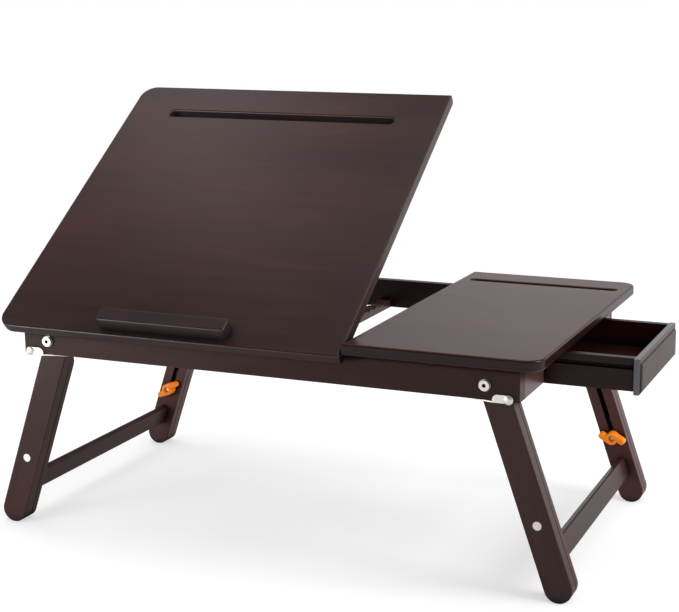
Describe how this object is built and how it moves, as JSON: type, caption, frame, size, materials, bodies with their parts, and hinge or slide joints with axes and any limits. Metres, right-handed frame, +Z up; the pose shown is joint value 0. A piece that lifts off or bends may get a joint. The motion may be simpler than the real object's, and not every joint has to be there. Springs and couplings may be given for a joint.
{
  "type": "laptop stand with drawer",
  "caption": "Folding bed-tray laptop stand: tilting panel on a hinged prop, fixed side panel with a sliding drawer below, and telescoping leg frames clamped by wing nuts.",
  "frame": {"origin": "On the floor below the middle of the whole assembly's bounding box, as stored: panel raised, drawer open, legs unfolded and at their shortest.", "axes": "+X along the top's width towards the drawer side, +Y to the back edge, away from the user, +Z up."},
  "size_m": [0.6488, 0.365, 0.4278],
  "materials": {
    "panel_wood": "satin lacquer, dark espresso with faint lengthwise grain",
    "frame_wood": "satin lacquer, dark espresso",
    "leg_wood": "satin lacquer, dark espresso with eased edges",
    "drawer_wood": "satin lacquer, dark espresso",
    "drawer_inside_wood": "matt stain, nearly black brown",
    "nickel_steel": "bright nickel plate",
    "zinc_steel": "zinc-plated steel",
    "orange_plastic": "moulded orange plastic, semi-gloss"
  },
  "bodies": {
    "frame": {"front_apron": "frame_wood", "back_apron": "frame_wood", "left_apron": "frame_wood", "right_apron_front_part": "frame_wood", "right_apron_back_part": "frame_wood", "drawer_divider": "frame_wood", "centre_rail": "frame_wood", "side_rail": "frame_wood", "side_rail_carriers": "frame_wood", "runner_board_front": "frame_wood", "runner_board_back": "frame_wood", "drawer_guide_front": "frame_wood", "drawer_guide_back": "frame_wood", "fixed_panel": "panel_wood", "panel_hinge_fixed_leaves": "nickel_steel", "panel_hinge_pins": "nickel_steel", "pivot_bolts": "nickel_steel", "pivot_washers": "nickel_steel", "pivot_spacers": "zinc_steel", "pivot_nuts": "zinc_steel", "latch_rivet_left_front": "nickel_steel", "latch_rivet_left_back": "nickel_steel", "latch_rivet_right_front": "nickel_steel", "latch_rivet_right_back": "nickel_steel"},
    "tilting_top": {"tilting_panel": "panel_wood", "stop_bar": "panel_wood", "panel_hinge_moving_leaves": "nickel_steel", "prop_hinge_fixed_leaves": "nickel_steel", "prop_hinge_pins": "nickel_steel"},
    "prop": {"prop_arm_left": "frame_wood", "prop_arm_right": "frame_wood", "prop_crossbar": "frame_wood", "prop_hinge_moving_leaves": "nickel_steel"},
    "drawer": {"drawer_side_front": "drawer_inside_wood", "drawer_side_back": "drawer_inside_wood", "drawer_back": "drawer_inside_wood", "drawer_bottom": "drawer_inside_wood", "drawer_front": "drawer_wood", "drawer_front_field": "drawer_wood"},
    "leg_left": {"upper_leg_left_front": "leg_wood", "upper_leg_left_back": "leg_wood", "clamp_bolts_left": "zinc_steel"},
    "foot_left": {"lower_leg_left_front": "leg_wood", "lower_leg_left_back": "leg_wood", "stretcher_left": "leg_wood"},
    "wing_nut_left_front_body": {"wing_nut_left_front": "orange_plastic"},
    "leg_latch_left_front_body": {"leg_latch_left_front": "nickel_steel"},
    "wing_nut_left_back_body": {"wing_nut_left_back": "orange_plastic"},
    "leg_latch_left_back_body": {"leg_latch_left_back": "nickel_steel"},
    "leg_right": {"upper_leg_right_front": "leg_wood", "upper_leg_right_back": "leg_wood", "clamp_bolts_right": "zinc_steel"},
    "foot_right": {"lower_leg_right_front": "leg_wood", "lower_leg_right_back": "leg_wood", "stretcher_right": "leg_wood"},
    "wing_nut_right_front_body": {"wing_nut_right_front": "orange_plastic"},
    "leg_latch_right_front_body": {"leg_latch_right_front": "nickel_steel"},
    "wing_nut_right_back_body": {"wing_nut_right_back": "orange_plastic"},
    "leg_latch_right_back_body": {"leg_latch_right_back": "nickel_steel"}
  },
  "joints": [
    {"name": "panel_tilt", "type": "hinge", "parent": "frame", "child": "tilting_top", "pos_m": [-0.01972, -0.16225, 0.21729], "axis": [1, 0, 0], "range_deg": [-35.95, 0]},
    {"name": "prop_fold", "type": "hinge", "parent": "tilting_top", "child": "prop", "pos_m": [-0.01972, -0.0477, 0.2978], "axis": [1, 0, 0], "range_deg": [0, 76.98]},
    {"name": "drawer_slide", "type": "slide", "parent": "frame", "child": "drawer", "axis": [1, 0, 0], "range_m": [-0.0883, 0.04]},
    {"name": "left_leg_fold", "type": "hinge", "parent": "frame", "child": "leg_left", "pos_m": [-0.24683, 0.00165, 0.19999], "axis": [0, -1, 0], "range_deg": [0, 109]},
    {"name": "left_leg_height", "type": "slide", "parent": "leg_left", "child": "foot_left", "axis": [0.3256, 0, 0.9455], "range_m": [-0.08, 0]},
    {"name": "left_front_wing_nut_turn", "type": "hinge", "parent": "leg_left", "child": "wing_nut_left_front_body", "pos_m": [-0.2913, -0.12875, 0.07083], "axis": [0, 1, 0], "continuous": true},
    {"name": "left_front_latch_swing", "type": "hinge", "parent": "frame", "child": "leg_latch_left_front_body", "pos_m": [-0.26772, -0.16565, 0.18879], "axis": [0, 1, 0], "range_deg": [0, 90]},
    {"name": "left_back_wing_nut_turn", "type": "hinge", "parent": "leg_left", "child": "wing_nut_left_back_body", "pos_m": [-0.2913, 0.13205, 0.07083], "axis": [0, 1, 0], "continuous": true},
    {"name": "left_back_latch_swing", "type": "hinge", "parent": "frame", "child": "leg_latch_left_back_body", "pos_m": [-0.26772, 0.16245, 0.18879], "axis": [0, 1, 0], "range_deg": [0, 90]},
    {"name": "right_leg_fold", "type": "hinge", "parent": "frame", "child": "leg_right", "pos_m": [0.20259, 0.00165, 0.19999], "axis": [0, 1, 0], "range_deg": [0, 109]},
    {"name": "right_leg_height", "type": "slide", "parent": "leg_right", "child": "foot_right", "axis": [-0.3256, 0, 0.9455], "range_m": [-0.08, 0]},
    {"name": "right_front_wing_nut_turn", "type": "hinge", "parent": "leg_right", "child": "wing_nut_right_front_body", "pos_m": [0.24706, -0.12875, 0.07083], "axis": [0, 1, 0], "continuous": true},
    {"name": "right_front_latch_swing", "type": "hinge", "parent": "frame", "child": "leg_latch_right_front_body", "pos_m": [0.22448, -0.16565, 0.18879], "axis": [0, -1, 0], "range_deg": [0, 90]},
    {"name": "right_back_wing_nut_turn", "type": "hinge", "parent": "leg_right", "child": "wing_nut_right_back_body", "pos_m": [0.24706, 0.13205, 0.07083], "axis": [0, 1, 0], "continuous": true},
    {"name": "right_back_latch_swing", "type": "hinge", "parent": "frame", "child": "leg_latch_right_back_body", "pos_m": [0.22448, 0.16245, 0.18879], "axis": [0, -1, 0], "range_deg": [0, 90]}
  ],
  "couplings": [
    {"joint": "prop_fold", "follows": "panel_tilt", "ratio": -2.1379}
  ]
}
